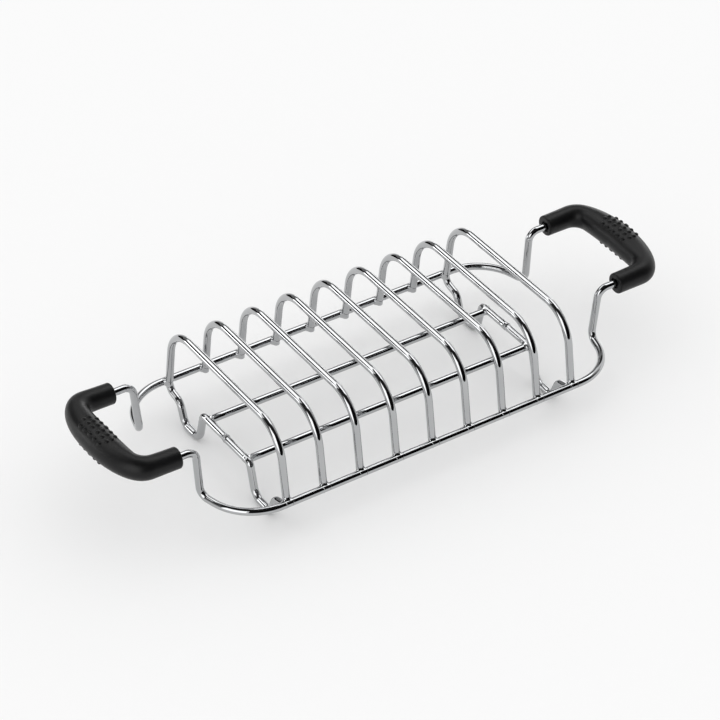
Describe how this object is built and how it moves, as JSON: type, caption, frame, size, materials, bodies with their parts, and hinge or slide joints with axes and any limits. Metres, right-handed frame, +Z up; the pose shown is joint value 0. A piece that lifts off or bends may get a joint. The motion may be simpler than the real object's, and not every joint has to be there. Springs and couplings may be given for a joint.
{
  "type": "toast rack",
  "caption": "Chromed wire toast rack with upright hoops between two side wires, two rods under the toast, wire feet and a black moulded carrying grip at each end.",
  "frame": {"origin": "on the table the feet stand on, below the middle of the rack", "axes": "+X along the rack from the left grip to the right grip, +Y across it towards the back side wire, +Z up"},
  "size_m": [0.3292, 0.121, 0.0603],
  "materials": {
    "chrome_wire": "bright chrome plating on steel wire",
    "grip_plastic": "matte black moulded plastic with small raised dots"
  },
  "bodies": {
    "root": {"front_side_wire": "chrome_wire", "back_side_wire": "chrome_wire", "left_end_loop": "chrome_wire", "right_end_loop": "chrome_wire", "hoop_1": "chrome_wire", "hoop_2": "chrome_wire", "hoop_3": "chrome_wire", "hoop_4": "chrome_wire", "hoop_5": "chrome_wire", "hoop_6": "chrome_wire", "hoop_7": "chrome_wire", "front_toast_rod": "chrome_wire", "back_toast_rod": "chrome_wire", "left_grip": "grip_plastic", "right_grip": "grip_plastic"}
  },
  "joints": []
}
